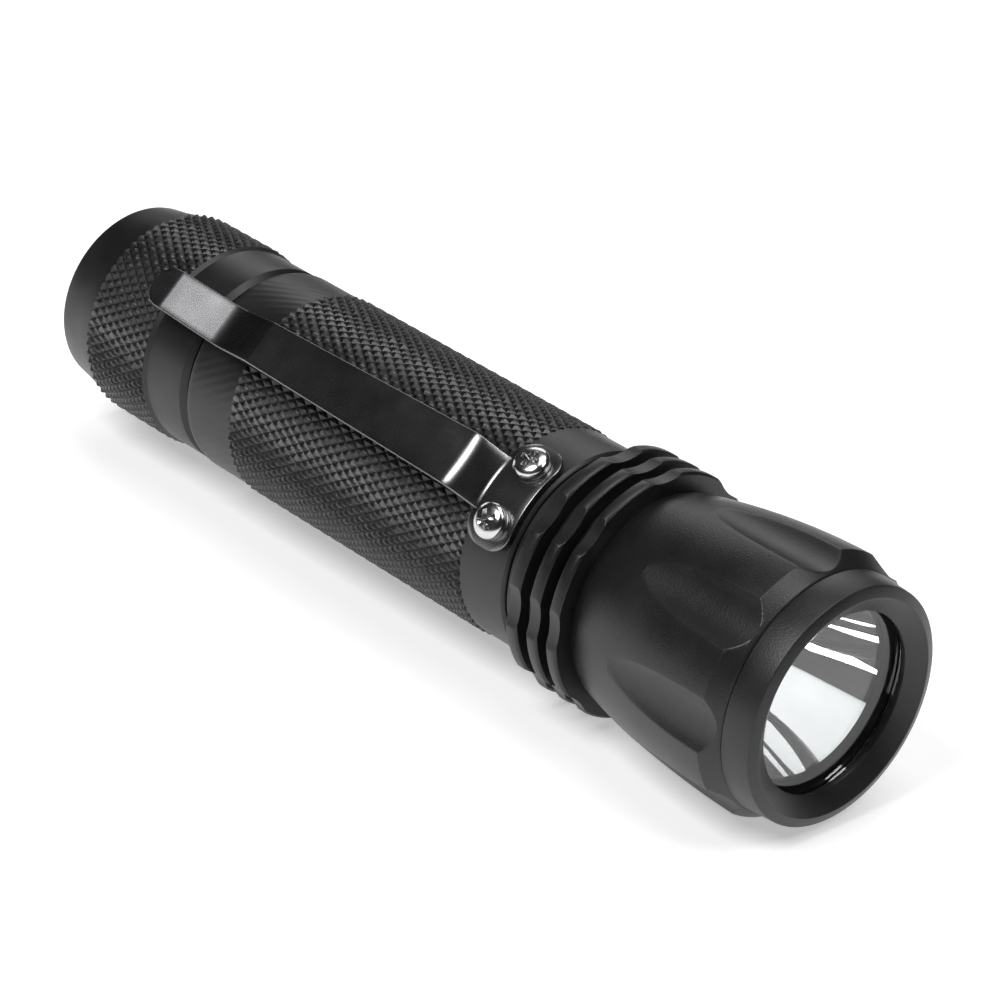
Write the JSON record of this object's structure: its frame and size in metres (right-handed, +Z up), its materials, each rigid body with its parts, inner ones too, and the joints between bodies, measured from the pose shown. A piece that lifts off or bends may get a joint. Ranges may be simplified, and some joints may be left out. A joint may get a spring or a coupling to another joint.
{
  "type": "tactical flashlight",
  "caption": "Handheld tactical flashlight: diamond-knurled tube, finned and fluted head, deep reflector, tail push switch and a screwed-on pocket clip.",
  "frame": {"origin": "centre of the tailcap's flat rear rim, on the light's axis", "axes": "+X along the axis towards the beam, +Z up as the light lies on a table, clip 45 degrees from +Z towards -Y"},
  "size_m": [0.1174, 0.0298, 0.0298],
  "materials": {
    "black_anodised": "hard anodised black, satin",
    "black_rubber": "matt",
    "boot_rubber": "matt, moulded",
    "white_nylon": "natural nylon",
    "black_plastic": "moulded",
    "red_plastic": "moulded",
    "spring_steel": "bright wire",
    "circuit_board": "solder mask",
    "brass": "turned",
    "plated_spring": "gold plated wire",
    "cell_can": "nickel plated can",
    "cell_wrap": "heat-shrunk film",
    "nickel": "nickel plated",
    "black_clip_steel": "black plated, glossy",
    "bright_screw": "polished",
    "lens_glass": "clear, coated",
    "mirror_aluminium": "vacuum-metallised mirror",
    "dome_silicone": "clear silicone",
    "phosphor": "phosphor on ceramic",
    "lamp_board": "white solder mask",
    "bare_aluminium": "turned",
    "wire_insulation": "silicone sleeve"
  },
  "bodies": {
    "body": {"body_tube": "black_anodised", "rear_cell_can": "cell_can", "rear_cell_wrap": "cell_wrap", "rear_cell_terminal": "nickel", "front_cell_can": "cell_can", "front_cell_wrap": "cell_wrap", "front_cell_terminal": "nickel", "clip_base": "black_clip_steel", "clip_screws": "bright_screw"},
    "clip_arm": {"clip_arm": "black_clip_steel"},
    "tail_seal": {"tail_o_ring": "black_rubber"},
    "tailcap": {"tailcap": "black_anodised", "switch_boot": "boot_rubber", "boot_washer": "white_nylon", "switch_housing": "black_plastic", "switch_return_spring": "spring_steel", "switch_board": "circuit_board", "switch_retaining_ring": "brass", "battery_spring": "plated_spring"},
    "switch_button": {"switch_button": "red_plastic"},
    "head_seal": {"head_o_ring": "black_rubber"},
    "head": {"head": "black_anodised", "bezel_ring": "black_anodised", "lens_gasket": "black_rubber", "lens_seat_ring": "black_rubber", "lens": "lens_glass", "reflector": "mirror_aluminium", "led_centring_ring": "black_plastic", "led_dome": "dome_silicone", "led_emitter": "phosphor", "led_board": "lamp_board", "heat_sink_pill": "bare_aluminium", "driver_board": "circuit_board", "driver_components": "black_plastic", "driver_contact": "brass", "led_wires": "wire_insulation"}
  },
  "joints": [
    {"name": "tailcap_travel", "type": "slide", "parent": "body", "child": "tail_seal", "axis": [-1, 0, 0], "range_m": [0, 0.007]},
    {"name": "tailcap_twist", "type": "hinge", "parent": "tail_seal", "child": "tailcap", "pos_m": [0.018, 0, 0], "axis": [-1, 0, 0], "range_deg": [0, 2520]},
    {"name": "switch_press", "type": "slide", "parent": "tailcap", "child": "switch_button", "axis": [1, 0, 0], "range_m": [0, 0.0015], "stiffness_N_per_m": 2000, "springref_m": -0.0008, "deforming": ["switch_boot", "switch_return_spring"]},
    {"name": "head_travel", "type": "slide", "parent": "body", "child": "head_seal", "axis": [1, 0, 0], "range_m": [0, 0.005]},
    {"name": "head_twist", "type": "hinge", "parent": "head_seal", "child": "head", "pos_m": [0.0823, 0, 0], "axis": [1, 0, 0], "range_deg": [0, 1800]},
    {"name": "clip_flex", "type": "hinge", "parent": "body", "child": "clip_arm", "pos_m": [0.07197, -0.00997, 0.00997], "axis": [0, 0.7071, 0.7071], "range_deg": [0, 4], "stiffness_Nm_per_rad": 5}
  ],
  "couplings": [
    {"joint": "tailcap_travel", "follows": "tailcap_twist", "m_per_rad": 0.00015915},
    {"joint": "head_travel", "follows": "head_twist", "m_per_rad": 0.00015915}
  ]
}
